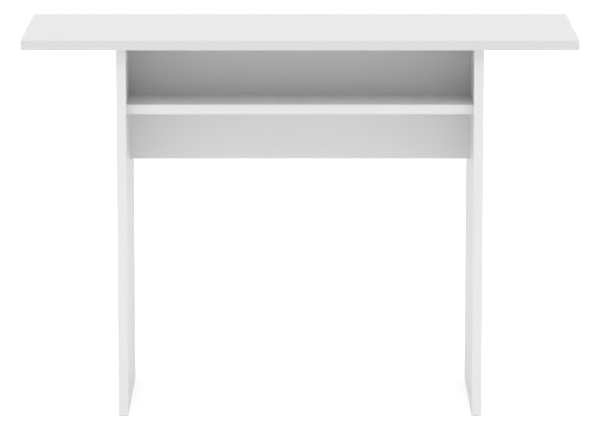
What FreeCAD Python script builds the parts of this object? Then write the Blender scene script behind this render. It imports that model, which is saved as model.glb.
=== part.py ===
"""White console table: one board top on two panel legs, with a centre panel that carries a shelf.

Millimetres. +X runs along the table, the front faces -Y and +Z is up.
The origin is on the floor, under the middle of the top.
The boards are melamine-faced chipboard with plastic edge bands, held by cam locks, dowels and screws.
"""

import FreeCAD, Part
import math
import os
from FreeCAD import Vector

# Overall sizes
table_length = 1080.0
table_depth = 400.0
table_height = 750.0
end_overhang = 183.0  # top past the outer face of each leg
side_overhang = 25.0  # top past the legs' front and rear edges

# Boards
top_thickness = 19.0
leg_thickness = 19.0
panel_thickness = 19.0
shelf_thickness = 19.0
panel_height = 244.0
shelf_clear_height = 114.0  # free height between the shelf and the top
shelf_recess = 28.0  # shelf's front edge behind the legs' front edges

# Plastic edge bands
band_thickness = 1.0
band_round = 0.8

# Cam locks: a round pocket in the face of the edge-bored board
cam_diameter = 15.0
cam_setback = 24.0  # board's end to the cam's axis
cam_below_bolt = 4.5  # pocket floor past the bolt's axis
cam_chamber_diameter = 10.4
cam_cross_length = 6.4
cam_cross_width = 1.6
cam_cross_depth = 3.0
cam_running_gap = 0.3  # between the cam's slots and the bolt in them
cam_cap_lip = 1.25  # cap's rim past the pocket
cap_height = 1.0
cap_round = 0.5
cap_peg_length = 2.5

# Connecting bolts, screwed into the face of the other board
bolt_thread_diameter = 5.0
bolt_thread_length = 11.0
bolt_collar_diameter = 7.5
bolt_collar_length = 3.0
bolt_shank_diameter = 6.0
bolt_neck_diameter = 4.0
bolt_head_diameter = 6.5
bolt_head_length = 3.0
bolt_bore_diameter = 8.0

# Wooden dowels
dowel_diameter = 8.0
dowel_length = 30.0
dowel_in_face = 12.0  # length in the board that it meets face on
dowel_chamfer = 1.0
bore_end_gap = 0.5  # bores run this far past what they hold

# Screws from the back of the centre panel into the shelf
screw_length = 50.0
screw_head_diameter = 10.0
screw_head_height = 2.5
screw_shank_diameter = 7.0
screw_thread_diameter = 5.0
screw_point_length = 4.0
screw_socket_across = 4.0
screw_socket_depth = 3.0
screw_cap_lip = 1.5  # cap's rim past the screw's head

# Nail-on foot glides
glide_margin = 1.5  # glide's edge inside the leg's faces
glide_height = 2.0
glide_round = 0.6
glide_inset = 30.0  # glide's axis from the leg's front or rear edge
nail_shank_diameter = 2.0
nail_head_diameter = 5.0
nail_head_height = 0.8
nail_cover = 0.6  # plastic under the nail's head
nail_in_leg = 14.0
nail_point_length = 2.0

# Places of the fittings, each from the end or edge of the board that is bored in its edge
leg_cam_inset = 50.0
leg_dowel_inset = 90.0
panel_cam_inset = 50.0
panel_dowel_inset = 90.0
panel_top_cam_inset = 150.0
panel_top_dowel_inset = 90.0
shelf_cam_inset = 40.0
shelf_dowel_inset = 40.0
shelf_screw_inset = 100.0

# Sizes and places that follow from the ones above
half_length = table_length / 2
half_depth = table_depth / 2
leg_outer = half_length - end_overhang
leg_inner = leg_outer - leg_thickness
leg_middle = leg_outer - leg_thickness / 2
leg_half_depth = half_depth - side_overhang
top_underside = table_height - top_thickness
panel_half = panel_thickness / 2
panel_bottom = top_underside - panel_height
shelf_top = top_underside - shelf_clear_height
shelf_bottom = shelf_top - shelf_thickness
shelf_middle = shelf_top - shelf_thickness / 2
shelf_front = -leg_half_depth + shelf_recess
shelf_rear = -panel_half
cam_cap_diameter = cam_diameter + 2 * cam_cap_lip
screw_cap_diameter = screw_head_diameter + 2 * screw_cap_lip
glide_diameter = leg_thickness - 2 * glide_margin
bolt_neck_start = cam_setback - cam_diameter / 2 - 1.0
neck_slot_half = bolt_neck_diameter / 2 + cam_running_gap
head_slot_half = bolt_head_diameter / 2 + cam_running_gap
bolt_head_start = cam_setback - math.sqrt(cam_chamber_diameter**2 - bolt_head_diameter**2) / 2

UP = Vector(0, 0, 1)
DOWN = Vector(0, 0, -1)
REAR = Vector(0, 1, 0)
FRONT = Vector(0, -1, 0)
SIDES = {"left": -1, "right": 1}

pieces = {}  # node name: list of solids
bores = {}  # board name: list of solids to drill out of it


# Basic shapes


def block(low, high):
    """Box between two corners."""
    low, high = Vector(*low), Vector(*high)
    size = high - low
    return Part.makeBox(size.x, size.y, size.z, low)


def rod(diameter, start, end):
    """Cylinder on the Z axis from start to end."""
    return Part.makeCylinder(diameter / 2, end - start, Vector(0, 0, start))


def cone(start_diameter, end_diameter, start, end):
    """Cone on the Z axis from start to end."""
    return Part.makeCone(start_diameter / 2, end_diameter / 2, end - start, Vector(0, 0, start))


def disc(diameter, start, end, height):
    """Cylinder along X from start to end, with its axis at a height."""
    return Part.makeCylinder(diameter / 2, end - start, Vector(start, 0, height), Vector(1, 0, 0))


def hexagon_rod(across, start, end):
    """Hexagonal rod on the Z axis from start to end."""
    radius = across / math.sqrt(3)
    turns = [math.radians(60 * corner) for corner in range(7)]
    outline = [Vector(radius * math.cos(turn), radius * math.sin(turn), start) for turn in turns]
    return Part.Face(Part.makePolygon(outline)).extrude(Vector(0, 0, end - start))


def fused(first, *others):
    """One solid from several that meet."""
    return first.multiFuse(list(others)).removeSplitter()


def circles_at(shape, axis, place, diameter):
    """Round edges of one diameter that lie in the plane where the axis has the given place."""

    def fits(edge):
        round_edge = isinstance(edge.Curve, Part.Circle)
        return round_edge and abs(edge.Curve.Radius * 2 - diameter) < 1e-6

    return [edge for edge in shape.Edges if fits(edge) and abs(edge.CenterOfMass[axis] - place) < 1e-6]


def rounded_block(low, high, sharp_planes):
    """Box with its edges rounded, apart from those lying in a sharp plane, given as axis and place."""
    solid = block(low, high)

    def lies_in(edge, axis, place):
        return all(abs(corner.Point[axis] - place) < 1e-6 for corner in edge.Vertexes)

    edges = [
        edge
        for edge in solid.Edges
        if not any(lies_in(edge, axis, place) for axis, place in sharp_planes)
    ]
    return solid.makeFillet(band_round, edges)


# Placing pieces and drilling boards


def fitting_place(point, into_board, mouth=UP):
    """Place whose +Z runs into the edge-bored board and whose +X faces the mouth of its cam pocket."""
    return FreeCAD.Placement(
        point, FreeCAD.Rotation(mouth, into_board.cross(mouth), into_board, "ZXY")
    )


def add(node, shape, place=FreeCAD.Placement()):
    """Add one solid to a node."""
    solid = shape.copy()
    solid.Placement = place
    pieces.setdefault(node, []).append(solid)


def drill(board, shape, place=FreeCAD.Placement()):
    """Take one solid out of a board."""
    solid = shape.copy()
    solid.Placement = place
    bores.setdefault(board, []).append(solid)


def add_board(node, low, high):
    """Add a board's core with everything drilled out of it."""
    add(node, block(low, high).cut(bores.get(node, [])))


# Cam lock, connecting bolt and cap, in the frame of fitting_place


def cam_cross(thickness, depth):
    """Cross-shaped prism that reaches down from the board's face at the cam's axis."""
    face = thickness / 2
    half_long = cam_cross_length / 2
    half_wide = cam_cross_width / 2

    def bar(half_y, half_z):
        return block(
            (face - depth, -half_y, cam_setback - half_z), (face, half_y, cam_setback + half_z)
        )

    return fused(bar(half_long, half_wide), bar(half_wide, half_long))


def cam_lock(thickness):
    """Turned-home cam: its rim holds the bolt's head, and its entry slot has moved a quarter turn."""
    body = disc(cam_diameter, -cam_below_bolt, thickness / 2, cam_setback)
    chamber = disc(cam_chamber_diameter, -head_slot_half, head_slot_half, cam_setback)
    past_rim = cam_diameter / 2 + 1.0
    neck_slot = block(
        (-neck_slot_half, -neck_slot_half, cam_setback - past_rim),
        (neck_slot_half, past_rim, cam_setback),
    )
    entry_slot = block(
        (-head_slot_half, 0, cam_setback - head_slot_half),
        (head_slot_half, past_rim, cam_setback + head_slot_half),
    )
    return body.cut([chamber, neck_slot, entry_slot, cam_cross(thickness, cam_cross_depth)])


def connecting_bolt():
    """Bolt whose thread is in the other board and whose head is in the cam."""
    return fused(
        rod(bolt_thread_diameter, -bolt_thread_length, 0),
        rod(bolt_collar_diameter, 0, bolt_collar_length),
        rod(bolt_shank_diameter, bolt_collar_length, bolt_neck_start),
        rod(bolt_neck_diameter, bolt_neck_start, bolt_head_start),
        rod(bolt_head_diameter, bolt_head_start, bolt_head_start + bolt_head_length),
    )


def cam_cap(thickness):
    """Round cover with a cross-shaped peg that presses into the cam."""
    face = thickness / 2
    cover = disc(cam_cap_diameter, face, face + cap_height, cam_setback)
    cover = cover.makeFillet(cap_round, circles_at(cover, 0, face + cap_height, cam_cap_diameter))
    return fused(cover, cam_cross(thickness, cap_peg_length))


def add_cam_joint(group, edge_board, face_board, thickness, point, into_board, mouth):
    """One cam lock in edge_board, with its bolt screwed into face_board."""
    place = fitting_place(point, into_board, mouth)
    add(group + "_cam_locks", cam_lock(thickness), place)
    add(group + "_bolts", connecting_bolt(), place)
    add(group + "_cam_caps", cam_cap(thickness), place)
    drill(edge_board, disc(cam_diameter, -cam_below_bolt, thickness / 2, cam_setback), place)
    drill(edge_board, rod(bolt_bore_diameter, 0, cam_setback), place)
    drill(face_board, rod(bolt_thread_diameter, -bolt_thread_length - bore_end_gap, 0), place)


# Dowels


def dowel():
    """Round dowel with chamfered ends."""
    start = -dowel_in_face
    end = start + dowel_length
    solid = rod(dowel_diameter, start, end)
    rims = circles_at(solid, 2, start, dowel_diameter) + circles_at(solid, 2, end, dowel_diameter)
    return solid.makeChamfer(dowel_chamfer, rims)


def add_dowel_joint(group, edge_board, face_board, point, into_board):
    """One dowel between the end of edge_board and the face of face_board."""
    mouth = UP if abs(into_board.z) < 0.5 else REAR
    place = fitting_place(point, into_board, mouth)
    start = -dowel_in_face
    add(group + "_dowels", dowel(), place)
    drill(face_board, rod(dowel_diameter, start - bore_end_gap, 0), place)
    drill(edge_board, rod(dowel_diameter, 0, start + dowel_length + bore_end_gap), place)


# Screws through the centre panel, with local zero where the panel meets the shelf


def screw_head_seat():
    """Countersunk head's outside."""
    start = -panel_thickness
    taper_start = start + screw_head_height
    taper_end = taper_start + (screw_head_diameter - screw_shank_diameter) / 2
    return fused(
        rod(screw_head_diameter, start, taper_start),
        cone(screw_head_diameter, screw_shank_diameter, taper_start, taper_end),
        rod(screw_shank_diameter, taper_end, 0),
    )


def shelf_screw():
    """Connecting screw with a socket in its head and a pointed end."""
    end = screw_length - panel_thickness
    solid = fused(
        screw_head_seat(),
        rod(screw_thread_diameter, 0, end - screw_point_length),
        cone(screw_thread_diameter, 1.0, end - screw_point_length, end),
    )
    start = -panel_thickness
    return solid.cut(hexagon_rod(screw_socket_across, start, start + screw_socket_depth))


def screw_cap():
    """Round cover with a hexagonal peg that presses into the screw's socket."""
    face = -panel_thickness
    cover = rod(screw_cap_diameter, face - cap_height, face)
    cover = cover.makeFillet(cap_round, circles_at(cover, 2, face - cap_height, screw_cap_diameter))
    return fused(cover, hexagon_rod(screw_socket_across, face, face + cap_peg_length))


def add_shelf_screw(x):
    """One screw from the back of the centre panel into the shelf's rear edge."""
    place = fitting_place(Vector(x, shelf_rear, shelf_middle), FRONT)
    add("shelf_screws", shelf_screw(), place)
    add("shelf_screw_caps", screw_cap(), place)
    drill("centre_panel", screw_head_seat(), place)
    reach = screw_length - panel_thickness + bore_end_gap
    drill("shelf_board", rod(screw_thread_diameter, 0, reach), place)


# Foot glides, with local zero on the floor


def glide_nail():
    """Nail with its head buried in the glide and its point in the leg."""
    head_top = nail_cover + nail_head_height
    end = glide_height + nail_in_leg
    return fused(
        rod(nail_head_diameter, nail_cover, head_top),
        rod(nail_shank_diameter, head_top, end - nail_point_length),
        cone(nail_shank_diameter, 0.4, end - nail_point_length, end),
    )


def foot_glide():
    """Round plastic foot moulded around the nail's head."""
    solid = rod(glide_diameter, 0, glide_height)
    solid = solid.makeFillet(glide_round, circles_at(solid, 2, 0, glide_diameter))
    head_top = nail_cover + nail_head_height
    buried_head = rod(nail_head_diameter, nail_cover, head_top)
    return solid.cut([buried_head, rod(nail_shank_diameter, head_top, glide_height)])


def add_glide(side, end, x, y):
    """One glide with its nail under a leg."""
    place = FreeCAD.Placement(Vector(x, y, 0), FreeCAD.Rotation())
    add(f"{side}_{end}_foot_glide", foot_glide(), place)
    add("glide_nails", glide_nail(), place)
    hole = rod(nail_shank_diameter, glide_height, glide_height + nail_in_leg + bore_end_gap)
    drill(f"{side}_leg_board", hole, place)
    drill(f"{side}_leg_bottom_band", hole, place)


# Joints of the table


def join_leg(side, sign):
    """Fasten one leg to the top, with its cams on the inner face."""
    board = f"{side}_leg_board"
    inward = Vector(-sign, 0, 0)
    for end in (-1, 1):
        cam_point = Vector(sign * leg_middle, end * (leg_half_depth - leg_cam_inset), top_underside)
        add_cam_joint("leg_top", board, "top_board", leg_thickness, cam_point, DOWN, inward)
        dowel_y = end * (leg_half_depth - leg_dowel_inset)
        dowel_point = Vector(sign * leg_middle, dowel_y, top_underside)
        add_dowel_joint("leg_top", board, "top_board", dowel_point, DOWN)


def join_panel_end(side, sign):
    """Fasten one end of the centre panel to its leg, and that half of its top edge to the top."""
    leg = f"{side}_leg_board"
    inward = Vector(-sign, 0, 0)
    for edge, turn in ((panel_bottom, 1), (top_underside, -1)):
        cam_point = Vector(sign * leg_inner, 0, edge + turn * panel_cam_inset)
        add_cam_joint("panel_end", "centre_panel", leg, panel_thickness, cam_point, inward, REAR)
        dowel_point = Vector(sign * leg_inner, 0, edge + turn * panel_dowel_inset)
        add_dowel_joint("panel_end", "centre_panel", leg, dowel_point, inward)
    cam_point = Vector(sign * (leg_inner - panel_top_cam_inset), 0, top_underside)
    add_cam_joint("panel_top", "centre_panel", "top_board", panel_thickness, cam_point, DOWN, REAR)
    dowel_point = Vector(sign * (leg_inner - panel_top_dowel_inset), 0, top_underside)
    add_dowel_joint("panel_top", "centre_panel", "top_board", dowel_point, DOWN)


def join_shelf_end(side, sign):
    """Fasten one end of the shelf to its leg, with its cam underneath."""
    leg = f"{side}_leg_board"
    inward = Vector(-sign, 0, 0)
    cam_point = Vector(sign * leg_inner, shelf_front + shelf_cam_inset, shelf_middle)
    add_cam_joint("shelf_end", "shelf_board", leg, shelf_thickness, cam_point, inward, DOWN)
    dowel_point = Vector(sign * leg_inner, shelf_rear - shelf_dowel_inset, shelf_middle)
    add_dowel_joint("shelf_end", "shelf_board", leg, dowel_point, inward)


# Boards with their edge bands


def make_top():
    """Top board, banded on all four edges; the front and rear bands cover the ends of the others."""
    low = (-half_length, -half_depth, top_underside)
    high = (half_length, half_depth, table_height)
    outline = rounded_block(low, high, [])
    core_x = half_length - band_thickness
    core_y = half_depth - band_thickness
    add_board("top_board", (-core_x, -core_y, top_underside), (core_x, core_y, table_height))
    strips = {
        "top_front_band": (low, (half_length, -core_y, table_height)),
        "top_rear_band": ((-half_length, core_y, top_underside), high),
        "top_left_band": ((-half_length, -core_y, top_underside), (-core_x, core_y, table_height)),
        "top_right_band": ((core_x, -core_y, top_underside), (half_length, core_y, table_height)),
    }
    for node, corners in strips.items():
        add(node, outline.common(block(*corners)))


def make_leg(side, sign):
    """Leg board, banded at the front, rear and bottom; its top edge is bare under the table top."""
    low_x, high_x = sorted((sign * leg_inner, sign * leg_outer))
    low = (low_x, -leg_half_depth, glide_height)
    high = (high_x, leg_half_depth, top_underside)
    outline = rounded_block(low, high, [(2, top_underside)])
    core_y = leg_half_depth - band_thickness
    core_bottom = glide_height + band_thickness
    add_board(f"{side}_leg_board", (low_x, -core_y, core_bottom), (high_x, core_y, top_underside))
    strips = {
        "front": (low, (high_x, -core_y, top_underside)),
        "rear": ((low_x, core_y, glide_height), high),
        "bottom": ((low_x, -core_y, glide_height), (high_x, core_y, core_bottom)),
    }
    for end, corners in strips.items():
        node = f"{side}_leg_{end}_band"
        add(node, outline.common(block(*corners)).cut(bores.get(node, [])))


def make_centre_panel():
    """Upright panel between the legs at the middle of their depth, banded along its lower edge."""
    low = (-leg_inner, -panel_half, panel_bottom)
    high = (leg_inner, panel_half, top_underside)
    sharp = [(0, -leg_inner), (0, leg_inner), (2, top_underside)]
    outline = rounded_block(low, high, sharp)
    core_bottom = panel_bottom + band_thickness
    add_board("centre_panel", (-leg_inner, -panel_half, core_bottom), high)
    strip = block(low, (leg_inner, panel_half, core_bottom))
    add("panel_bottom_band", outline.common(strip))


def make_shelf():
    """Shelf between the legs in front of the centre panel, banded along its front edge."""
    low = (-leg_inner, shelf_front, shelf_bottom)
    high = (leg_inner, shelf_rear, shelf_top)
    sharp = [(0, -leg_inner), (0, leg_inner), (1, shelf_rear)]
    outline = rounded_block(low, high, sharp)
    core_front = shelf_front + band_thickness
    add_board("shelf_board", (-leg_inner, core_front, shelf_bottom), high)
    strip = block(low, (leg_inner, core_front, shelf_top))
    add("shelf_front_band", outline.common(strip))


def make_table():
    """Place every fitting first, so that each board is drilled for what it holds."""
    for side, sign in SIDES.items():
        join_leg(side, sign)
        join_panel_end(side, sign)
        join_shelf_end(side, sign)
        for end, toward in (("front", -1), ("rear", 1)):
            add_glide(side, end, sign * leg_middle, toward * (leg_half_depth - glide_inset))
    for x in (-leg_inner + shelf_screw_inset, 0, leg_inner - shelf_screw_inset):
        add_shelf_screw(x)
    make_top()
    for side, sign in SIDES.items():
        make_leg(side, sign)
    make_centre_panel()
    make_shelf()


make_table()
os.makedirs("parts", exist_ok=True)
for node, solids in pieces.items():
    Part.makeCompound(solids).exportStep(f"parts/{node}.step")
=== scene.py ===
"""Looks of a white console table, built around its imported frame. Lengths are in metres."""

import math

import bmesh
import bpy
from mathutils import Matrix, Vector


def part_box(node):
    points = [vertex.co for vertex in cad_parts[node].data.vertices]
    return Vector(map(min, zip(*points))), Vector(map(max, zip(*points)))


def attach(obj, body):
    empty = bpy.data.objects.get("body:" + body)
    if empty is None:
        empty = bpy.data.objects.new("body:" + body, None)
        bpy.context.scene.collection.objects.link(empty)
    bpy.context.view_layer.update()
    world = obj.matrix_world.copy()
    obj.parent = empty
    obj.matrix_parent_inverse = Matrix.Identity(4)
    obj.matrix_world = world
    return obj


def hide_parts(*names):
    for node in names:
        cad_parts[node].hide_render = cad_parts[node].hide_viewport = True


bl_info = {
    "name": "Console table",
    "version": (1, 0, 0),
    "blender": (4, 5, 0),
    "location": "View3D > Sidebar > Console table",
    "description": "Builds the edge bands, fittings, finishes and studio of a white console table",
    "category": "Object",
}

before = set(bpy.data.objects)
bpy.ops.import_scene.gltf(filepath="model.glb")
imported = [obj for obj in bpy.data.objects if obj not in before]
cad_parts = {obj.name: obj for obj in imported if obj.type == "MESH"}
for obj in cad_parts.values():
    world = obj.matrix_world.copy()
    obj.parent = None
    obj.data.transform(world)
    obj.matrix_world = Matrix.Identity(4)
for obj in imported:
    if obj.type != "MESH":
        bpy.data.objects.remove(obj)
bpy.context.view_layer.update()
ROOT = "root"
SAME_PLACE = 1e-6

UP = Vector((0, 0, 1))
DOWN = Vector((0, 0, -1))
FRONT = Vector((0, -1, 0))
REAR = Vector((0, 1, 0))
LENGTHWISE = Vector((1, 0, 0))

# Which way each board is thin
BOARD_THIN_AXES = {
    "top_board": UP,
    "left_leg_board": LENGTHWISE,
    "right_leg_board": LENGTHWISE,
    "centre_panel": REAR,
    "shelf_board": UP,
}

# Each edge band: its long axis, and the sides of its box that stay sharp because they meet a board
BANDS = {
    "top_front_band": (LENGTHWISE, [(1, "high")]),
    "top_rear_band": (LENGTHWISE, [(1, "low")]),
    "top_left_band": (REAR, [(0, "high"), (1, "low"), (1, "high")]),
    "top_right_band": (REAR, [(0, "low"), (1, "low"), (1, "high")]),
    **{
        f"{side}_leg_{edge}_band": shape
        for side in ("left", "right")
        for edge, shape in (
            ("front", (UP, [(1, "high"), (2, "high")])),
            ("rear", (UP, [(1, "low"), (2, "high")])),
            ("bottom", (REAR, [(2, "high"), (1, "low"), (1, "high")])),
        )
    },
    "panel_bottom_band": (LENGTHWISE, [(2, "high"), (0, "low"), (0, "high")]),
    "shelf_front_band": (LENGTHWISE, [(1, "high"), (0, "low"), (0, "high")]),
}

GLIDES = ("left_front", "left_rear", "right_front", "right_rear")
GLIDE_ROUND = 0.0006
NAIL_SHANK_RADIUS = 0.001
NAIL_HEAD_RADIUS = 0.0025
NAIL_HEAD_HEIGHT = 0.0008


def always(direction):
    """Function that gives one direction for any box."""
    return lambda box: direction


def inward(box):
    """Direction from a fitting towards the middle of the table's length."""
    low, high = box
    return Vector((-math.copysign(1, low.x + high.x), 0, 0))


# Each joint of the boards: which way its bolts and dowels run, and which way its cams face
JOINTS = {
    "leg_top": (always(DOWN), inward),
    "panel_end": (inward, always(REAR)),
    "panel_top": (always(DOWN), always(REAR)),
    "shelf_end": (inward, always(DOWN)),
}


# Settings


def colour_setting(name, description, default):
    """Colour that a user may change."""
    return bpy.props.FloatVectorProperty(
        name=name, description=description, default=default, subtype="COLOR", size=3, min=0, max=1
    )


def length_setting(name, description, default):
    """Length that a user may change."""
    return bpy.props.FloatProperty(
        name=name, description=description, default=default, subtype="DISTANCE"
    )


def strength_setting(name, description, default, most=100.0):
    """Strength that a user may change."""
    return bpy.props.FloatProperty(
        name=name, description=description, default=default, min=0, max=most
    )


class TableFinishes(bpy.types.PropertyGroup):
    """Colours and textures of the table."""

    facing_colour: colour_setting(
        "Facing colour", "White of the boards' melamine facing", (0.7, 0.7, 0.7)
    )
    facing_pearl: length_setting(
        "Pearl size", "Size of the fine pearl texture pressed into the facing", 0.0012
    )
    facing_film: length_setting(
        "Facing thickness", "Thickness of the melamine film on each face", 0.0002
    )
    satin: strength_setting(
        "Satin", "Mirroring of the facing and the bands, on the shader's own scale", 0.3, most=1.0
    )
    chip_length: length_setting("Chip length", "Length of the wood chips in the core", 0.004)
    chip_light: colour_setting(
        "Light chips", "Colour of the pale chips in the core", (0.62, 0.46, 0.29)
    )
    chip_dark: colour_setting(
        "Dark chips", "Colour of the dark chips and glue in the core", (0.34, 0.22, 0.12)
    )
    band_colour: colour_setting(
        "Edge band colour", "White of the plastic edge bands", (0.7, 0.7, 0.7)
    )
    # Painted shade: the top's bands get a greyer white than the other bands, standing in for the
    # weaker light on the top's front edge
    top_band_colour: colour_setting(
        "Top's edge band colour",
        "White of the bands round the top, a shade greyer than the others",
        (0.625, 0.625, 0.625),
    )
    cap_colour: colour_setting(
        "Cap colour", "White of the moulded caps and glides", (0.78, 0.78, 0.775)
    )
    beech_light: colour_setting("Beech", "Pale wood of the dowels", (0.66, 0.45, 0.27))
    beech_dark: colour_setting(
        "Beech flecks", "Dark flecks and pores of the dowels", (0.42, 0.24, 0.12)
    )


class TableDetails(bpy.types.PropertyGroup):
    """Sizes of the small shapes on the bands and fittings."""

    edge_round: length_setting("Edge round", "Radius on the outer edges of the bands", 0.0008)
    seam: length_setting(
        "Glue seam", "Width of the fine groove between a band and its board", 0.0001
    )
    cap_height: length_setting("Cap height", "How far a cover cap stands off its board", 0.001)
    cap_cross_length: length_setting(
        "Cross length", "Length of the arms of a cam cap's peg, tip to tip", 0.0064
    )
    cap_cross_width: length_setting("Cross width", "Width of the arms of a cam cap's peg", 0.0016)
    socket_across: length_setting(
        "Socket size", "Size across the flats of the screws' sockets and their caps' pegs", 0.004
    )
    socket_depth: length_setting("Socket depth", "Depth of the screws' sockets", 0.003)
    bolt_pitch: length_setting(
        "Bolt pitch", "Pitch of the coarse thread on the connecting bolts", 0.0024
    )
    screw_pitch: length_setting("Screw pitch", "Pitch of the thread on the shelf screws", 0.003)
    flutes: bpy.props.IntProperty(
        name="Flutes", description="Number of glue flutes round a dowel", default=16, min=4
    )
    flute_depth: length_setting("Flute depth", "Depth of the glue flutes in a dowel", 0.00025)


class TableStudio(bpy.types.PropertyGroup):
    """Floor, light and camera."""

    floor_size: length_setting("Floor size", "Length of the floor's sides", 60.0)
    floor_colour: colour_setting("Floor colour", "Colour of the pale floor", (0.93, 0.93, 0.93))
    floor_glow: strength_setting(
        "Floor glow", "Light that the floor gives off itself, so that it reads as white paper", 0.27
    )
    horizon_light: strength_setting("Horizon light", "Dome at the horizon", 0.05)
    low_front_light: strength_setting("Low front light", "Dome low down in front", 1.15)
    low_side_light: strength_setting("Low side light", "Dome low down at both ends", 0.1)
    low_rear_light: strength_setting("Low rear light", "Dome low down behind", 1.3)
    high_front_light: strength_setting("High front light", "Dome high up in front", 2.25)
    high_side_light: strength_setting("High side light", "Dome high up at both ends", 1.1)
    high_rear_light: strength_setting("High rear light", "Dome high up behind", 0.3)
    overhead_light: strength_setting("Overhead light", "Dome straight above", 1.76)
    camera_distance: length_setting(
        "Camera distance", "How far in front of the table's middle the camera stands", 7.83
    )
    camera_height: length_setting("Camera height", "Height of the camera above the floor", 1.802)
    camera_tilt: bpy.props.FloatProperty(
        name="Camera tilt",
        description="How far the camera looks down",
        default=math.radians(10.361),
        subtype="ANGLE",
    )
    camera_lens: bpy.props.FloatProperty(
        name="Lens",
        description="Focal length of the camera",
        default=239.14,
        subtype="DISTANCE_CAMERA",
    )


# Node trees


def feed(tree, socket, value):
    """Link a node's input to another socket, or set it to a plain value."""
    if isinstance(value, bpy.types.NodeSocket):
        tree.links.new(value, socket)
    else:
        socket.default_value = value


def add_node(tree, kind, inputs=None, **settings):
    """Add a node with its settings, then feed its inputs."""
    node = tree.nodes.new(kind)
    for name, value in settings.items():
        setattr(node, name, value)
    for name, value in (inputs or {}).items():
        feed(tree, node.inputs[name], value)
    return node


def calculate(tree, operation, *values):
    """Output of a Math node."""
    inputs = dict(enumerate(values))
    return add_node(tree, "ShaderNodeMath", inputs, operation=operation).outputs[0]


def blend_colours(tree, factor, first, second, mode="MIX"):
    """Output of a colour Mix node."""
    inputs = {0: factor, 6: first, 7: second}
    node = add_node(tree, "ShaderNodeMix", inputs, data_type="RGBA", blend_type=mode)
    return node.outputs[2]


def blend_values(tree, factor, first, second):
    """Output of a Mix node for plain values."""
    return add_node(tree, "ShaderNodeMix", {0: factor, 2: first, 3: second}).outputs[0]


def ranged(tree, value, from_low, from_high, to_low=0.0, to_high=1.0, curve="LINEAR"):
    """Output of a clamped Map Range node."""
    inputs = {0: value, 1: from_low, 2: from_high, 3: to_low, 4: to_high}
    node = add_node(tree, "ShaderNodeMapRange", inputs, interpolation_type=curve)
    return node.outputs[0]


def noise(tree, vector, size, detail=2.0):
    """Output of a Noise node whose features have about the given size."""
    linked = isinstance(size, bpy.types.NodeSocket)
    scale = calculate(tree, "DIVIDE", 1.0, size) if linked else 1 / size
    inputs = {"Vector": vector, "Scale": scale, "Detail": detail}
    return add_node(tree, "ShaderNodeTexNoise", inputs).outputs[0]


def stretched(tree, vector, scale):
    """Coordinates scaled along each axis."""
    return add_node(tree, "ShaderNodeMapping", {"Vector": vector, "Scale": scale}).outputs[0]


def opaque(colour, tone=1.0):
    """Four numbers for a colour socket."""
    return (colour[0] * tone, colour[1] * tone, colour[2] * tone, 1.0)


def effect_group(name, inputs, outputs, fill):
    """Shader node group with named sockets, built once; fill wires its inputs to its outputs."""
    if name in bpy.data.node_groups:
        return bpy.data.node_groups[name]
    group = bpy.data.node_groups.new(name, "ShaderNodeTree")
    kinds = {"vector": "NodeSocketVector", "value": "NodeSocketFloat", "colour": "NodeSocketColor"}
    for label, kind, default in inputs:
        socket = group.interface.new_socket(name=label, in_out="INPUT", socket_type=kinds[kind])
        if default is not None:
            socket.default_value = default
    for label, kind in outputs:
        group.interface.new_socket(name=label, in_out="OUTPUT", socket_type=kinds[kind])
    entry = group.nodes.new("NodeGroupInput")
    leave = group.nodes.new("NodeGroupOutput")
    for label, socket in fill(group, entry.outputs).items():
        group.links.new(socket, leave.inputs[label])
    return group


def use_group(tree, group, inputs):
    """Place a group in a tree and return its outputs."""
    return add_node(tree, "ShaderNodeGroup", inputs, node_tree=group).outputs


# Effects that several materials share


def soft_shade():
    """Slow, faint change of tone and gloss, as on any large sheet or moulding."""

    def fill(tree, entry):
        cloudy = noise(tree, entry["Vector"], entry["Size"], 3.0)
        tone = ranged(tree, cloudy, 0.3, 0.7)
        low = calculate(tree, "SUBTRACT", 1.0, entry["Amount"])
        return {"Tone": blend_values(tree, tone, low, 1.0), "Mask": tone}

    return effect_group(
        "Soft shade",
        [("Vector", "vector", None), ("Size", "value", 0.3), ("Amount", "value", 0.02)],
        [("Tone", "value"), ("Mask", "value")],
        fill,
    )


def pressed_pearl():
    """Fine pebbled relief that a press plate or a mould leaves in a surface."""

    def fill(tree, entry):
        scale = calculate(tree, "DIVIDE", 1.0, entry["Size"])
        cells = add_node(
            tree,
            "ShaderNodeTexVoronoi",
            {"Vector": entry["Vector"], "Scale": scale, "Smoothness": 0.6},
            feature="SMOOTH_F1",
        )
        pebbles = ranged(tree, cells.outputs["Distance"], 0.0, 0.8, 1.0, 0.0)
        grit = noise(tree, entry["Vector"], calculate(tree, "MULTIPLY", entry["Size"], 0.4))
        return {"Height": blend_values(tree, 0.35, pebbles, grit), "Grit": grit}

    return effect_group(
        "Pressed pearl",
        [("Vector", "vector", None), ("Size", "value", 0.001)],
        [("Height", "value"), ("Grit", "value")],
        fill,
    )


def handling_marks():
    """Faint rubs and fine scuffs that change only the gloss."""

    def fill(tree, entry):
        streaks = noise(tree, stretched(tree, entry["Vector"], (1.0, 0.22, 0.22)), 0.006, 4.0)
        patches = noise(tree, entry["Vector"], 0.11, 2.0)
        streaked = ranged(tree, streaks, 0.52, 0.68)
        return {"Mask": calculate(tree, "MULTIPLY", streaked, ranged(tree, patches, 0.48, 0.66))}

    return effect_group("Handling marks", [("Vector", "vector", None)], [("Mask", "value")], fill)


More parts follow.
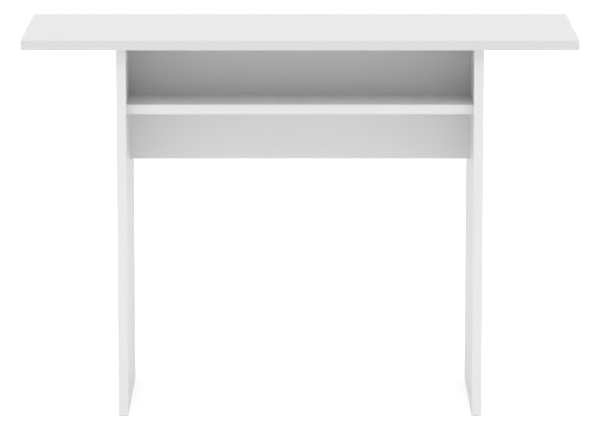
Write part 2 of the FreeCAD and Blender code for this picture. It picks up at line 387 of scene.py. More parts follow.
def facing_section():
    """Mask that is 1 in the film on a board's faces and 0 in the core; also depth from a face."""

    def fill(tree, entry):
        place = add_node(tree, "ShaderNodeSeparateXYZ", {0: entry["Vector"]}).outputs["Z"]
        from_middle = calculate(tree, "ABSOLUTE", place)
        depth = calculate(tree, "SUBTRACT", entry["Half thickness"], from_middle)
        return {"Mask": calculate(tree, "LESS_THAN", depth, entry["Film"]), "Depth": depth}

    return effect_group(
        "Facing section",
        [
            ("Vector", "vector", None),
            ("Half thickness", "value", 0.0095),
            ("Film", "value", 0.0002),
        ],
        [("Mask", "value"), ("Depth", "value")],
        fill,
    )


def chip_core():
    """Pressed wood chips: coarse in the middle of the board and fine towards its faces."""

    def fill(tree, entry):
        def chips(size, flatness):
            flat = stretched(tree, entry["Vector"], (1.0, 1.6, flatness))
            scale = calculate(tree, "DIVIDE", 1.0, size)
            cells = add_node(
                tree, "ShaderNodeTexVoronoi", {"Vector": flat, "Scale": scale, "Randomness": 1.0}
            )
            shade = add_node(tree, "ShaderNodeSeparateColor", {0: cells.outputs["Color"]})
            return shade.outputs[0], cells.outputs["Distance"]

        coarse, coarse_gap = chips(entry["Chip length"], 5.0)
        fine, fine_gap = chips(calculate(tree, "MULTIPLY", entry["Chip length"], 0.3), 2.5)
        middle = ranged(tree, entry["Depth"], 0.002, 0.0045)
        shade = blend_values(tree, middle, fine, coarse)
        gap = blend_values(tree, middle, fine_gap, coarse_gap)
        colour = blend_colours(tree, shade, entry["Dark"], entry["Light"])
        joint = ranged(tree, gap, 0.35, 0.75)
        return {
            "Colour": blend_colours(tree, joint, colour, entry["Dark"]),
            "Height": calculate(tree, "SUBTRACT", shade, joint),
        }

    return effect_group(
        "Chip core",
        [
            ("Vector", "vector", None),
            ("Depth", "value", 0.0),
            ("Chip length", "value", 0.004),
            ("Light", "colour", None),
            ("Dark", "colour", None),
        ],
        [("Colour", "colour"), ("Height", "value")],
        fill,
    )


def drawn_lines():
    """Very fine lines along X, left by drawing a strip or rod through a die."""

    def fill(tree, entry):
        along = stretched(tree, entry["Vector"], (0.02, 1.0, 1.0))
        return {"Height": noise(tree, along, entry["Size"], 3.0)}

    return effect_group(
        "Drawn lines",
        [("Vector", "vector", None), ("Size", "value", 0.0006)],
        [("Height", "value")],
        fill,
    )


def beech_grain():
    """Beech with its grain along Z: pale bands, short dark flecks and pores."""

    def fill(tree, entry):
        rings = noise(tree, stretched(tree, entry["Vector"], (1.0, 1.0, 0.06)), 0.0016, 3.0)
        flecks = noise(tree, stretched(tree, entry["Vector"], (1.0, 1.0, 0.12)), 0.00035, 1.0)
        colour = blend_colours(tree, ranged(tree, rings, 0.35, 0.7), entry["Light"], entry["Dark"])
        pores = ranged(tree, flecks, 0.6, 0.7)
        soft = blend_colours(tree, 0.55, colour, entry["Light"])
        return {"Colour": blend_colours(tree, pores, soft, entry["Dark"]), "Height": flecks}

    return effect_group(
        "Beech grain",
        [("Vector", "vector", None), ("Light", "colour", None), ("Dark", "colour", None)],
        [("Colour", "colour"), ("Height", "value")],
        fill,
    )


# Materials


def piece_coordinates(tree, centre=Vector(), along=UP, onto=UP):
    """Object coordinates with a piece's centre at zero and one of its axes turned onto another."""
    turn = along.rotation_difference(onto)
    source = add_node(tree, "ShaderNodeTexCoord").outputs["Object"]
    inputs = {"Vector": source, "Location": -(turn @ centre), "Rotation": turn.to_euler()}
    return add_node(tree, "ShaderNodeMapping", inputs).outputs[0]


def new_material(name):
    """Material with nodes, its tree and its shader."""
    material = bpy.data.materials.new(name)
    material.use_nodes = True
    tree = material.node_tree
    return material, tree, tree.nodes["Principled BSDF"]


def relief(tree, shader, height, distance):
    """Feed a height to the shader's normal; distance is the relief's real depth."""
    inputs = {"Height": height, "Distance": distance, "Strength": 1.0}
    bump = add_node(tree, "ShaderNodeBump", inputs)
    tree.links.new(bump.outputs[0], shader.inputs["Normal"])


def gloss(tree, shader, roughness, *changes):
    """Feed the shader's roughness: a base value, and pairs of a mask and how much it adds."""
    for mask, amount in changes:
        roughness = calculate(tree, "MULTIPLY_ADD", mask, amount, roughness)
    feed(tree, shader.inputs["Roughness"], roughness)


def tinted(tree, colour, tone):
    """Colour times a changing tone."""
    return blend_colours(tree, 1.0, opaque(colour), tone, "MULTIPLY")


def toned(tree, shader, place, colour, size, amount):
    """Colour a shader with a slow change of tone, and return that change's outputs."""
    shade = use_group(tree, soft_shade(), {"Vector": place, "Size": size, "Amount": amount})
    tree.links.new(tinted(tree, colour, shade["Tone"]), shader.inputs["Base Color"])
    return shade


def board_material(node, thin_axis, looks):
    """White melamine on both faces, bare chipboard on cut edges and in bores."""
    low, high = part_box(node)
    centre = (low + high) / 2
    half = abs((high - low).dot(thin_axis)) / 2
    material, tree, shader = new_material(f"faced board {node}")
    place = piece_coordinates(tree, centre, thin_axis, UP)
    inputs = {"Vector": place, "Half thickness": half, "Film": looks.facing_film}
    section = use_group(tree, facing_section(), inputs)
    core = use_group(
        tree,
        chip_core(),
        {
            "Vector": place,
            "Depth": section["Depth"],
            "Chip length": looks.chip_length,
            "Light": opaque(looks.chip_light),
            "Dark": opaque(looks.chip_dark),
        },
    )
    shade = use_group(tree, soft_shade(), {"Vector": place, "Size": 0.35, "Amount": 0.012})
    pearl = use_group(tree, pressed_pearl(), {"Vector": place, "Size": looks.facing_pearl})
    marks = use_group(tree, handling_marks(), {"Vector": place})
    white = tinted(tree, looks.facing_colour, shade["Tone"])
    specks = ranged(tree, pearl["Grit"], 0.62, 0.8, 0.0, 0.05)
    speckled = blend_colours(tree, specks, white, opaque(looks.facing_colour, 0.8))
    satin = calculate(tree, "MULTIPLY_ADD", pearl["Grit"], 0.08, 0.4)
    rubbed = calculate(tree, "MULTIPLY_ADD", marks["Mask"], 0.06, satin)
    facing = section["Mask"]
    colour = blend_colours(tree, facing, core["Colour"], speckled)
    tree.links.new(colour, shader.inputs["Base Color"])
    gloss(tree, shader, blend_values(tree, facing, 0.85, rubbed))
    pressed = calculate(tree, "MULTIPLY", pearl["Height"], 0.2)
    relief(tree, shader, blend_values(tree, facing, core["Height"], pressed), distance=0.00025)
    shader.inputs["Specular IOR Level"].default_value = looks.satin
    return material


def band_material(name, long_axis, colour, satin):
    """Satin plastic edge band, drawn along its length."""
    material, tree, shader = new_material(name)
    place = piece_coordinates(tree, along=long_axis, onto=LENGTHWISE)
    toned(tree, shader, place, colour, size=0.2, amount=0.015)
    lines = use_group(tree, drawn_lines(), {"Vector": place})
    pearl = use_group(tree, pressed_pearl(), {"Vector": place, "Size": 0.0008})
    marks = use_group(tree, handling_marks(), {"Vector": place})
    gloss(tree, shader, 0.33, (lines["Height"], 0.1), (marks["Mask"], 0.08))
    both = blend_values(tree, 0.5, lines["Height"], pearl["Height"])
    relief(tree, shader, both, distance=0.00003)
    shader.inputs["Specular IOR Level"].default_value = satin
    return material


def moulded_material(name, colour, roughness):
    """White moulded plastic with a fine spark-eroded texture."""
    material, tree, shader = new_material(name)
    place = piece_coordinates(tree)
    toned(tree, shader, place, colour, size=0.01, amount=0.04)
    pearl = use_group(tree, pressed_pearl(), {"Vector": place, "Size": 0.00035})
    marks = use_group(tree, handling_marks(), {"Vector": place})
    gloss(tree, shader, roughness, (pearl["Grit"], 0.12), (marks["Mask"], 0.1))
    relief(tree, shader, pearl["Height"], distance=0.00003)
    return material


def metal_material(name, colour, roughness, grain, depth):
    """Bare or plated metal with a grainy skin and cloudy stains."""
    material, tree, shader = new_material(name)
    place = piece_coordinates(tree)
    shade = toned(tree, shader, place, colour, size=0.004, amount=0.25)
    pearl = use_group(tree, pressed_pearl(), {"Vector": place, "Size": grain})
    shader.inputs["Metallic"].default_value = 1.0
    gloss(tree, shader, roughness, (pearl["Grit"], 0.2), (shade["Mask"], 0.1))
    relief(tree, shader, pearl["Height"], depth)
    return material


def beech_material(name, along, looks):
    """Beech dowel with its grain along one axis."""
    material, tree, shader = new_material(name)
    place = piece_coordinates(tree, along=along, onto=UP)
    light, dark = opaque(looks.beech_light), opaque(looks.beech_dark)
    grain = use_group(tree, beech_grain(), {"Vector": place, "Light": light, "Dark": dark})
    tree.links.new(grain["Colour"], shader.inputs["Base Color"])
    gloss(tree, shader, 0.55, (grain["Height"], 0.2))
    relief(tree, shader, grain["Height"], distance=0.00006)
    return material


def floor_material(studio):
    """Pale, even paper floor with a faint tooth, clear from below so that it hides no underside."""
    material, tree, shader = new_material("pale paper floor")
    place = piece_coordinates(tree)
    toned(tree, shader, place, studio.floor_colour, size=1.5, amount=0.01)
    shader.inputs["Roughness"].default_value = 0.9
    shader.inputs["Specular IOR Level"].default_value = 0.1
    shader.inputs["Emission Color"].default_value = opaque(studio.floor_colour)
    shader.inputs["Emission Strength"].default_value = studio.floor_glow
    relief(tree, shader, noise(tree, place, 0.004), distance=0.0001)
    under = add_node(tree, "ShaderNodeNewGeometry").outputs["Backfacing"]
    clear = add_node(tree, "ShaderNodeBsdfTransparent").outputs[0]
    one_sided = add_node(tree, "ShaderNodeMixShader", {0: under, 1: shader.outputs[0], 2: clear})
    tree.links.new(one_sided.outputs[0], tree.nodes["Material Output"].inputs["Surface"])
    return material


# Modelling


def deselect():
    """Leave no object selected."""
    bpy.ops.object.select_all(action="DESELECT")


def choose(piece):
    """Make one object the only selected and active one."""
    deselect()
    piece.select_set(True)
    bpy.context.view_layer.objects.active = piece


def settle(piece):
    """Put a piece's place, turn and size into its mesh, so that its object sits at the origin."""
    choose(piece)
    bpy.ops.object.transform_apply(location=True, rotation=True, scale=True)


def select_edges(piece, wanted):
    """In edit mode, select the edges whose two ends pass a test."""
    bpy.ops.mesh.select_mode(type="EDGE")
    bpy.ops.mesh.select_all(action="DESELECT")
    mesh = bmesh.from_edit_mesh(piece.data)
    for edge in mesh.edges:
        edge.select_set(wanted([corner.co for corner in edge.verts]))
    bmesh.update_edit_mesh(piece.data)


def smooth(piece, degrees=35):
    """Smooth shading, with edges above an angle kept crisp."""
    choose(piece)
    bpy.ops.object.shade_smooth_by_angle(angle=math.radians(degrees))


def turned(name, stations, sides=48):
    """Closed shape turned on the Z axis through stations of radius and height."""
    deselect()
    radius, height = stations[0]
    bpy.ops.mesh.primitive_circle_add(
        vertices=sides, radius=radius, fill_type="NGON", location=(0, 0, height)
    )
    piece = bpy.context.object
    piece.name = name
    settle(piece)
    bpy.ops.object.mode_set(mode="EDIT")
    bpy.ops.mesh.select_mode(type="FACE")
    bpy.ops.mesh.select_all(action="SELECT")
    for (last_radius, last_height), (radius, height) in zip(stations, stations[1:]):
        bpy.ops.mesh.extrude_region_move(
            TRANSFORM_OT_translate={"value": (0, 0, height - last_height)}
        )
        ratio = radius / last_radius
        bpy.ops.transform.resize(value=(ratio, ratio, 1), center_override=(0, 0, height))
    bpy.ops.mesh.select_all(action="SELECT")
    bpy.ops.mesh.normals_make_consistent(inside=False)
    bpy.ops.object.mode_set(mode="OBJECT")
    return piece


def rings(start, end, spacing, radius):
    """Evenly spaced stations of one radius, both ends included."""
    count = max(1, round((end - start) / spacing))
    return [(radius, start + (end - start) * step / count) for step in range(count + 1)]


def quarter_round(radius, base, width, height, steps=5):
    """Stations of a rounded corner, from a rim at one height in to a face above or below it."""
    angles = [math.pi / 2 * step / steps for step in range(steps + 1)]
    return [
        (radius - width * (1 - math.cos(angle)), base + height * math.sin(angle))
        for angle in angles
    ]


def cut_thread(piece, start, end, pitch, depth):
    """Raise a helical ridge on a turned shank between two heights, fading in and out."""
    for vertex in piece.data.vertices:
        x, y, z = vertex.co
        radius = math.hypot(x, y)
        if not start < z < end or radius < depth:
            continue
        phase = (z / pitch - math.atan2(y, x) / math.tau) % 1
        ridge = max(0.0, 1 - abs(phase - 0.5) / 0.3)
        fade = min(1.0, (z - start) / pitch, (end - z) / pitch)
        lift = 1 + depth * ridge * fade / radius
        vertex.co.x *= lift
        vertex.co.y *= lift


def cut_flutes(piece, count, depth):
    """Sink straight flutes into the side of a turned rod."""
    for vertex in piece.data.vertices:
        x, y, z = vertex.co
        radius = math.hypot(x, y)
        if radius < depth:
            continue
        wave = (1 + math.cos(count * math.atan2(y, x))) / 2
        sink = 1 - depth * wave**2 / radius
        vertex.co.x *= sink
        vertex.co.y *= sink


def cross_peg(length, width, height):
    """Cross-shaped peg that stands on the ground."""
    middle = Vector((0, 0, height / 2))
    deselect()
    bpy.ops.mesh.primitive_cube_add(size=1, location=middle, scale=(width, width, height))
    peg = bpy.context.object
    settle(peg)
    bpy.ops.object.mode_set(mode="EDIT")
    bpy.ops.mesh.select_mode(type="FACE")
    reach = (length - width) / 2
    for away in (LENGTHWISE, -LENGTHWISE, REAR, FRONT):
        bpy.ops.mesh.select_all(action="DESELECT")
        mesh = bmesh.from_edit_mesh(peg.data)
        face_centre = middle + away * width / 2
        side = min(mesh.faces, key=lambda face: (face.calc_center_median() - face_centre).length)
        side.select_set(True)
        bmesh.update_edit_mesh(peg.data)
        bpy.ops.mesh.extrude_region_move(TRANSFORM_OT_translate={"value": away * reach})
    bpy.ops.object.mode_set(mode="OBJECT")
    return peg


def hexagon_peg(across, start, end):
    """Hexagonal peg on the Z axis."""
    deselect()
    bpy.ops.mesh.primitive_cylinder_add(
        vertices=6,
        radius=across / math.sqrt(3),
        depth=end - start,
        location=(0, 0, (start + end) / 2),
    )
    peg = bpy.context.object
    settle(peg)
    return peg


def combine(piece, tool, operation):
    """Add or cut one closed shape with another, which is then removed."""
    choose(piece)
    modifier = piece.modifiers.new("combine", "BOOLEAN")
    modifier.object = tool
    modifier.operation = operation
    modifier.solver = "EXACT"
    bpy.ops.object.modifier_apply(modifier=modifier.name)
    choose(tool)
    bpy.ops.object.delete()


def solid_boxes(node):
    """Lowest and highest corner of each separate solid in a CAD node, in order of place."""
    mesh = bmesh.new()
    mesh.from_mesh(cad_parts[node].data)
    bmesh.ops.remove_doubles(mesh, verts=mesh.verts, dist=SAME_PLACE)
    left = set(mesh.verts)
    boxes = []
    while left:
        reached = [left.pop()]
        corners = []
        while reached:
            vertex = reached.pop()
            corners.append(vertex.co.copy())
            for edge in vertex.link_edges:
                other = edge.other_vert(vertex)
                if other in left:
                    left.remove(other)
                    reached.append(other)
        low = Vector(min(corner[axis] for corner in corners) for axis in range(3))
        high = Vector(max(corner[axis] for corner in corners) for axis in range(3))
        boxes.append((low, high))
    mesh.free()
    return sorted(boxes, key=lambda box: tuple(round(value, 4) for value in box[0] + box[1]))


def stand_in_box(box, direction):
    """Matrix that stands a shape on one end of a box, with its Z axis in a direction."""
    low, high = box
    size = high - low
    reach = abs(size.dot(direction)) / 2
    base = (low + high) / 2 - direction * reach
    return Matrix.Translation(base) @ UP.rotation_difference(direction).to_matrix().to_4x4()


def coat(piece, material):
    """Give a piece one material in place of what it has."""
    piece.data.materials.clear()
    piece.data.materials.append(material)


def finish_piece(piece, node, material):
    """Give a finished piece its material and its body, and hide the CAD node it stands for."""
    coat(piece, material)
    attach(piece, ROOT)
    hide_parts(node)


def set_out(master, label, node, direction_of, material):
    """Copy a shape into every solid's box of a CAD node, then remove the first one."""
    for number, box in enumerate(solid_boxes(node), start=1):
        choose(master)
        bpy.ops.object.duplicate()
        piece = bpy.context.object
        piece.name = f"{label}_{number}"
        piece.matrix_world = stand_in_box(box, direction_of(box))
        settle(piece)
        finish_piece(piece, node, material)
    choose(master)
    bpy.ops.object.delete()


def length_along(node, direction_of):
    """Length of the first solid of a CAD node in its own direction."""
    low, high = solid_boxes(node)[0]
    return abs((high - low).dot(direction_of((low, high))))


# Operators


class TABLE_OT_face_boards(bpy.types.Operator):
    """Give the five boards their melamine faces and chipboard core"""

    bl_idname = "table.face_boards"
    bl_label = "Face the boards"

    def execute(self, context):
        for node, thin_axis in BOARD_THIN_AXES.items():
            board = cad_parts[node]
            coat(board, board_material(node, thin_axis, context.scene.table_finishes))
        return {"FINISHED"}


class TABLE_OT_band_edges(bpy.types.Operator):
    """Build the plastic band on every edge that shows, with rounded outer edges and a fine seam"""

    bl_idname = "table.band_edges"
    bl_label = "Band the edges"

    def execute(self, context):
        looks = context.scene.table_finishes
        details = context.scene.table_details
        materials = {}
        for node, (long_axis, sharp_sides) in BANDS.items():
            on_top = node.startswith("top")
            key = (tuple(long_axis), on_top)
            if key not in materials:
                # The top's bands take the greyer white, which is painted shade for the dimmer light
                # on the top's edge; the other bands take the plain band white
                colour = looks.top_band_colour if on_top else looks.band_colour
                name = f"edge band {len(materials) + 1}"
                materials[key] = band_material(name, long_axis, colour, looks.satin)
            strip = self.strip(node, sharp_sides, details)
            finish_piece(strip, node, materials[key])
        return {"FINISHED"}

    def strip(self, node, sharp_sides, details):
        """One strip in its CAD box; sharp_sides starts with the side that is glued to the board."""
        low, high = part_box(node)
        deselect()
        bpy.ops.mesh.primitive_cube_add(size=1, location=(low + high) / 2, scale=high - low)
        strip = bpy.context.object
        strip.name = node.replace("_band", "_edging")
        settle(strip)
        corner = {"low": low, "high": high}

        def lies_on(ends, side):
            axis, name = side
            return all(abs(end[axis] - corner[name][axis]) < SAME_PLACE for end in ends)

        bpy.ops.object.mode_set(mode="EDIT")
        select_edges(strip, lambda ends: not any(lies_on(ends, side) for side in sharp_sides))
        bpy.ops.mesh.bevel(offset=details.edge_round, segments=5, affect="EDGES")
        select_edges(strip, lambda ends: lies_on(ends, sharp_sides[0]))
        bpy.ops.mesh.bevel(offset=details.seam, segments=1, affect="EDGES")
        bpy.ops.object.mode_set(mode="OBJECT")
        smooth(strip)
        return strip


class TABLE_OT_cast_cams(bpy.types.Operator):
    """Give the cam locks their bare zinc"""

    bl_idname = "table.cast_cams"
    bl_label = "Cast the cam locks"

    def execute(self, context):
        zinc = metal_material(
            "cast zinc", (0.52, 0.52, 0.54), roughness=0.42, grain=0.0005, depth=0.00004
        )
        for joint in JOINTS:
            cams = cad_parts[f"{joint}_cam_locks"]
            coat(cams, zinc)
        return {"FINISHED"}


class TABLE_OT_turn_bolts(bpy.types.Operator):
    """Build the connecting bolts, with a coarse thread at one end and a cam head at the other"""

    bl_idname = "table.turn_bolts"
    bl_label = "Turn the connecting bolts"

    def execute(self, context):
        pitch = context.scene.table_details.bolt_pitch
        steel = metal_material(
            "plated bolt steel", (0.68, 0.68, 0.7), roughness=0.22, grain=0.0003, depth=0.00001
        )
        for joint, (run, _) in JOINTS.items():
            node = f"{joint}_bolts"
            bolt = self.bolt(length_along(node, run), pitch)
            set_out(bolt, f"{joint}_connecting_bolt", node, run, steel)
        return {"FINISHED"}

    def bolt(self, length, pitch):
        """Bolt of a given length, standing on its pointed thread."""
        core, collar, shank, neck, head = 0.0023, 0.00375, 0.0028, 0.002, 0.00325
        thread_end = 0.011
        collar_end = thread_end + 0.003
        shank_end = collar_end + 0.0125
        head_start = length - 0.003
        chamfer = 0.00025
        stations = [
            (0.0008, 0.0),
            (0.0019, 0.0012),
            *rings(0.0016, thread_end - 0.0006, pitch / 8, core),
            (core, thread_end),
            (collar - chamfer, thread_end),
            (collar, thread_end + 0.0003),
            (collar, collar_end - 0.0003),
            (collar - chamfer, collar_end),
            (shank, collar_end),
            (shank, shank_end - 0.0008),
            (neck, shank_end),
            (neck, head_start),
            (head - chamfer, head_start),
            (head, head_start + 0.0004),
            (head, head_start + 0.0012),
            (0.003, head_start + 0.0021),
            (0.0023, head_start + 0.0027),
            (0.0012, length),
        ]
        bolt = turned("bolt", stations, sides=40)
        cut_thread(bolt, 0.0012, thread_end - 0.0004, pitch, depth=0.0008)
        smooth(bolt, 40)
        return bolt


class TABLE_OT_turn_dowels(bpy.types.Operator):
    """Build the fluted beech dowels"""

    bl_idname = "table.turn_dowels"
    bl_label = "Turn the dowels"

    def execute(self, context):
        looks = context.scene.table_finishes
        upright = beech_material("beech upright", DOWN, looks)
        lengthwise = beech_material("beech lengthwise", LENGTHWISE, looks)
        for joint, (run, _) in JOINTS.items():
            node = f"{joint}_dowels"
            box = solid_boxes(node)[0]
            radius = (box[1] - box[0]).y / 2
            dowel = self.dowel(length_along(node, run), radius, context.scene.table_details)
            wood = upright if run(box) == DOWN else lengthwise
            set_out(dowel, f"{joint}_fluted_dowel", node, run, wood)
        return {"FINISHED"}

    def dowel(self, length, radius, details):
        """Rod with chamfered ends and straight flutes."""
        chamfer = 0.001
        stations = [
            (radius - chamfer, 0.0),
            (radius - chamfer / 3, chamfer / 2),
            *rings(chamfer, length - chamfer, 0.004, radius),
            (radius - chamfer / 3, length - chamfer / 2),
            (radius - chamfer, length),
        ]
        dowel = turned("dowel", stations, sides=details.flutes * 8)
        cut_flutes(dowel, details.flutes, details.flute_depth)
        smooth(dowel, 30)
        return dowel


def domed_cap(radius, length, height, peg):
    """Thin round cap on a peg that stands on the ground, with a soft rim and a raised middle."""
    start = length - height
    cap = turned(
        "cap",
        [
            (radius - 0.0002, start),
            (radius, start + 0.15 * height),
            *quarter_round(radius, start + 0.45 * height, 0.001, 0.42 * height),
            (radius * 0.72, start + 0.95 * height),
            (radius * 0.45, start + 0.985 * height),
            (radius * 0.2, length),
        ],
        sides=64,
    )
    combine(cap, peg, "UNION")
    smooth(cap, 25)
    return cap


class TABLE_OT_mould_cam_caps(bpy.types.Operator):
    """Build the round caps over the cam locks, each with a cross-shaped peg"""

    bl_idname = "table.mould_cam_caps"
    bl_label = "Mould the cam caps"

    def execute(self, context):
        details = context.scene.table_details
        colour = context.scene.table_finishes.cap_colour
        plastic = moulded_material("moulded cap plastic", colour, roughness=0.4)
        height = details.cap_height
        for joint, (_, mouth) in JOINTS.items():
            node = f"{joint}_cam_caps"
            low, high = solid_boxes(node)[0]
            length = length_along(node, mouth)
            across, width = details.cap_cross_length, details.cap_cross_width
            peg = cross_peg(across, width, length - height / 2)
            cap = domed_cap(max(high - low) / 2, length, height, peg)
            set_out(cap, f"{joint}_cover_cap", node, mouth, plastic)
        return {"FINISHED"}


class TABLE_OT_turn_shelf_screws(bpy.types.Operator):
    """Build the connecting screws that hold the shelf from behind the centre panel"""

    bl_idname = "table.turn_shelf_screws"
    bl_label = "Turn the shelf screws"

    def execute(self, context):
        node = "shelf_screws"
        run = always(FRONT)
        steel = metal_material(
            "plated screw steel", (0.7, 0.69, 0.66), roughness=0.24, grain=0.0003, depth=0.00001
        )
        panel_low, panel_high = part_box("centre_panel")
        panel = panel_high.y - panel_low.y
        screw = self.screw(length_along(node, run), panel, context.scene.table_details)
        set_out(screw, "shelf_connecting_screw", node, run, steel)
        return {"FINISHED"}

    def screw(self, length, panel, details):
        """Screw standing on its countersunk head, with a plain shank through the panel."""
        head, shank, core = 0.005, 0.0035, 0.0025
        point = length - 0.004
        stations = [
            (head - 0.0003, 0.0),
            (head, 0.0003),
            (head, 0.0025),
            (shank, 0.004),
            (shank, panel - 0.001),
            (core, panel),
            *rings(panel + 0.0003, point, details.screw_pitch / 8, core),
            (core * 0.7, length - 0.0015),
            (0.0005, length),
        ]
        screw = turned("screw", stations, sides=40)
        cut_thread(screw, panel + 0.0002, length - 0.001, details.screw_pitch, shank - core)
        socket = hexagon_peg(details.socket_across, -0.001, details.socket_depth)
        combine(screw, socket, "DIFFERENCE")
        smooth(screw, 40)
        return screw


class TABLE_OT_mould_screw_caps(bpy.types.Operator):
    """Build the round caps over the shelf screws, each with a hexagonal peg"""

    bl_idname = "table.mould_screw_caps"
    bl_label = "Mould the screw caps"

    def execute(self, context):
        node = "shelf_screw_caps"
        details = context.scene.table_details
        colour = context.scene.table_finishes.cap_colour
        plastic = moulded_material("moulded screw cap plastic", colour, roughness=0.38)
        low, high = solid_boxes(node)[0]
        length = high.y - low.y
        height = details.cap_height
        peg = hexagon_peg(details.socket_across, 0, length - height / 2)
        cap = domed_cap((high.x - low.x) / 2, length, height, peg)
        set_out(cap, "shelf_screw_cover", node, always(REAR), plastic)
        return {"FINISHED"}


class TABLE_OT_mould_glides(bpy.types.Operator):
    """Build the four foot glides, each hollowed for its nail"""

    bl_idname = "table.mould_glides"
    bl_label = "Mould the foot glides"

    def execute(self, context):
        colour = context.scene.table_finishes.cap_colour
        plastic = moulded_material("moulded glide plastic", colour, roughness=0.46)
        nail_low, _ = solid_boxes("glide_nails")[0]
        for corner in GLIDES:
            node = f"{corner}_foot_glide"
            low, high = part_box(node)
            size = high - low
            glide = self.glide(size.x / 2, size.z, nail_low.z - low.z)
            glide.name = f"{corner}_glide_foot"
            glide.matrix_world = stand_in_box((low, high), UP)
            settle(glide)
            finish_piece(glide, node, plastic)
        return {"FINISHED"}

    def glide(self, radius, height, cover):
        """Round foot with a moulding dimple underneath and a stepped hole for the nail on top."""
        head_top = cover + NAIL_HEAD_HEIGHT
        stations = [
            (0.0012, 0.0002),
            (0.0018, 0.0002),
            (0.0022, 0.0),
            *reversed(quarter_round(radius, GLIDE_ROUND, GLIDE_ROUND, -GLIDE_ROUND)),
            (radius, height - 0.0002),
            (radius - 0.0002, height),
            (NAIL_SHANK_RADIUS, height),
            (NAIL_SHANK_RADIUS, head_top),
            (NAIL_HEAD_RADIUS, head_top),
            (NAIL_HEAD_RADIUS, cover),
        ]
        glide = turned("glide", stations, sides=64)
        smooth(glide, 30)
        return glide


class TABLE_OT_forge_nails(bpy.types.Operator):
    """Build the ring-shank nails that hold the glides"""

    bl_idname = "table.forge_nails"
    bl_label = "Forge the glide nails"

    def execute(self, context):
        node = "glide_nails"
        run = always(UP)
        steel = metal_material(
            "plated nail steel", (0.62, 0.62, 0.63), roughness=0.28, grain=0.0002, depth=0.00001
        )
        nail = self.nail(length_along(node, run))
        set_out(nail, "glide_ring_nail", node, run, steel)
        return {"FINISHED"}

    def nail(self, length):
        """Nail standing on its flat head, with barbed rings round its shank."""
        point = length - 0.002
        ring_pitch = 0.0008
        stations = [
            (NAIL_HEAD_RADIUS - 0.0002, 0.0),
            (NAIL_HEAD_RADIUS, 0.0002),
            (NAIL_HEAD_RADIUS, NAIL_HEAD_HEIGHT - 0.0002),
            (NAIL_HEAD_RADIUS - 0.0002, NAIL_HEAD_HEIGHT),
            (NAIL_SHANK_RADIUS, NAIL_HEAD_HEIGHT),
        ]
        ring_start = 0.004
        while ring_start + ring_pitch < point:
            stations += [
                (NAIL_SHANK_RADIUS, ring_start),
                (NAIL_SHANK_RADIUS - 0.00012, ring_start + 0.0001),
                (NAIL_SHANK_RADIUS - 0.00003, ring_start + 0.0007),
            ]
            ring_start += ring_pitch
        stations += [(NAIL_SHANK_RADIUS, point), (0.0002, length)]
        nail = turned("nail", stations, sides=24)
        smooth(nail, 30)
        return nail


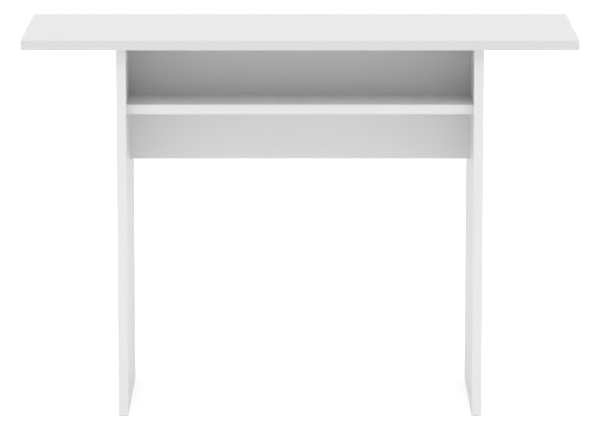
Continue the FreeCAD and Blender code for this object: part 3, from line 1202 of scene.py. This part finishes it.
class TABLE_OT_set_stage(bpy.types.Operator):
    """Lay the pale floor, light the studio and set the camera"""

    bl_idname = "table.set_stage"
    bl_label = "Set the stage"

    def execute(self, context):
        studio = context.scene.table_studio
        self.lay_floor(studio)
        self.light_dome(context.scene, studio)
        self.set_camera(context.scene, studio)
        context.scene.view_settings.view_transform = "Standard"
        return {"FINISHED"}

    def lay_floor(self, studio):
        """Plain floor under the glides."""
        deselect()
        bpy.ops.mesh.primitive_plane_add(size=studio.floor_size, location=(0, 0, 0))
        floor = bpy.context.object
        floor.name = "pale_floor"
        floor.data.materials.append(floor_material(studio))

    def light_dome(self, scene, studio):
        """Soft dome, stronger overhead and in front; the camera itself sees plain white."""
        world = bpy.data.worlds.new("Studio dome")
        scene.world = world
        world.use_nodes = True
        tree = world.node_tree
        way = add_node(tree, "ShaderNodeTexCoord").outputs["Generated"]
        height = calculate(tree, "ARCSINE", self.parts(tree, way)[2])
        level = self.vector(tree, "MULTIPLY", {0: way, 1: (1, 1, 0)})
        x, y, _ = self.parts(tree, self.vector(tree, "NORMALIZE", {0: level}))
        side = calculate(tree, "MULTIPLY", x, x)
        ahead = calculate(tree, "LESS_THAN", y, 0.0)

        def belt(front, ends, rear):
            """Strength round a belt of the dome."""
            return blend_values(tree, side, blend_values(tree, ahead, rear, front), ends)

        low = belt(studio.low_front_light, studio.low_side_light, studio.low_rear_light)
        high = belt(studio.high_front_light, studio.high_side_light, studio.high_rear_light)

        def above(start, end):
            """Mask that rises between two heights in degrees."""
            low_edge, high_edge = math.radians(start), math.radians(end)
            return ranged(tree, height, low_edge, high_edge, curve="SMOOTHSTEP")

        strength = blend_values(tree, above(3, 18), studio.horizon_light, low)
        strength = blend_values(tree, above(24, 38), strength, high)
        strength = blend_values(tree, above(48, 64), strength, studio.overhead_light)
        seen = add_node(tree, "ShaderNodeLightPath").outputs["Is Camera Ray"]
        background = tree.nodes["Background"]
        background.inputs["Color"].default_value = (1, 1, 1, 1)
        tree.links.new(blend_values(tree, seen, strength, 1.0), background.inputs["Strength"])

    def vector(self, tree, operation, inputs):
        """Output of a Vector Math node."""
        return add_node(tree, "ShaderNodeVectorMath", inputs, operation=operation).outputs[0]

    def parts(self, tree, vector):
        """The three numbers of a vector."""
        return add_node(tree, "ShaderNodeSeparateXYZ", {0: vector}).outputs

    def set_camera(self, scene, studio):
        """Long lens from in front, looking down a little."""
        data = bpy.data.cameras.new("camera")
        data.lens = studio.camera_lens
        camera = bpy.data.objects.new("camera", data)
        scene.collection.objects.link(camera)
        camera.location = (0, -studio.camera_distance, studio.camera_height)
        camera.rotation_euler = (math.pi / 2 - studio.camera_tilt, 0, 0)
        scene.camera = camera


OPERATORS = (
    TABLE_OT_set_stage,
    TABLE_OT_face_boards,
    TABLE_OT_band_edges,
    TABLE_OT_cast_cams,
    TABLE_OT_turn_bolts,
    TABLE_OT_turn_dowels,
    TABLE_OT_mould_cam_caps,
    TABLE_OT_turn_shelf_screws,
    TABLE_OT_mould_screw_caps,
    TABLE_OT_mould_glides,
    TABLE_OT_forge_nails,
)
SETTINGS = {
    "table_finishes": TableFinishes,
    "table_details": TableDetails,
    "table_studio": TableStudio,
}


class TABLE_PT_console_table(bpy.types.Panel):
    """Sidebar panel with every step and every setting"""

    bl_label = "Console table"
    bl_idname = "TABLE_PT_console_table"
    bl_space_type = "VIEW_3D"
    bl_region_type = "UI"
    bl_category = "Console table"

    def draw(self, context):
        for step in OPERATORS:
            self.layout.operator(step.bl_idname)
        for name, group in SETTINGS.items():
            column = self.layout.column()
            for setting in group.__annotations__:
                column.prop(getattr(context.scene, name), setting)


def register():
    """Register the settings, the operators and the panel."""
    for name, group in SETTINGS.items():
        bpy.utils.register_class(group)
        setattr(bpy.types.Scene, name, bpy.props.PointerProperty(type=group))
    for step in OPERATORS:
        bpy.utils.register_class(step)
    bpy.utils.register_class(TABLE_PT_console_table)


def unregister():
    """Take everything back out."""
    bpy.utils.unregister_class(TABLE_PT_console_table)
    for step in reversed(OPERATORS):
        bpy.utils.unregister_class(step)
    for name, group in SETTINGS.items():
        delattr(bpy.types.Scene, name)
        bpy.utils.unregister_class(group)


def run_step(step):
    """Call an operator through bpy.ops by its own name."""
    space, name = step.bl_idname.split(".")
    getattr(getattr(bpy.ops, space), name)()


def main():
    """Build everything in order."""
    register()
    for step in OPERATORS:
        run_step(step)


if __name__ == "__main__":
    main()
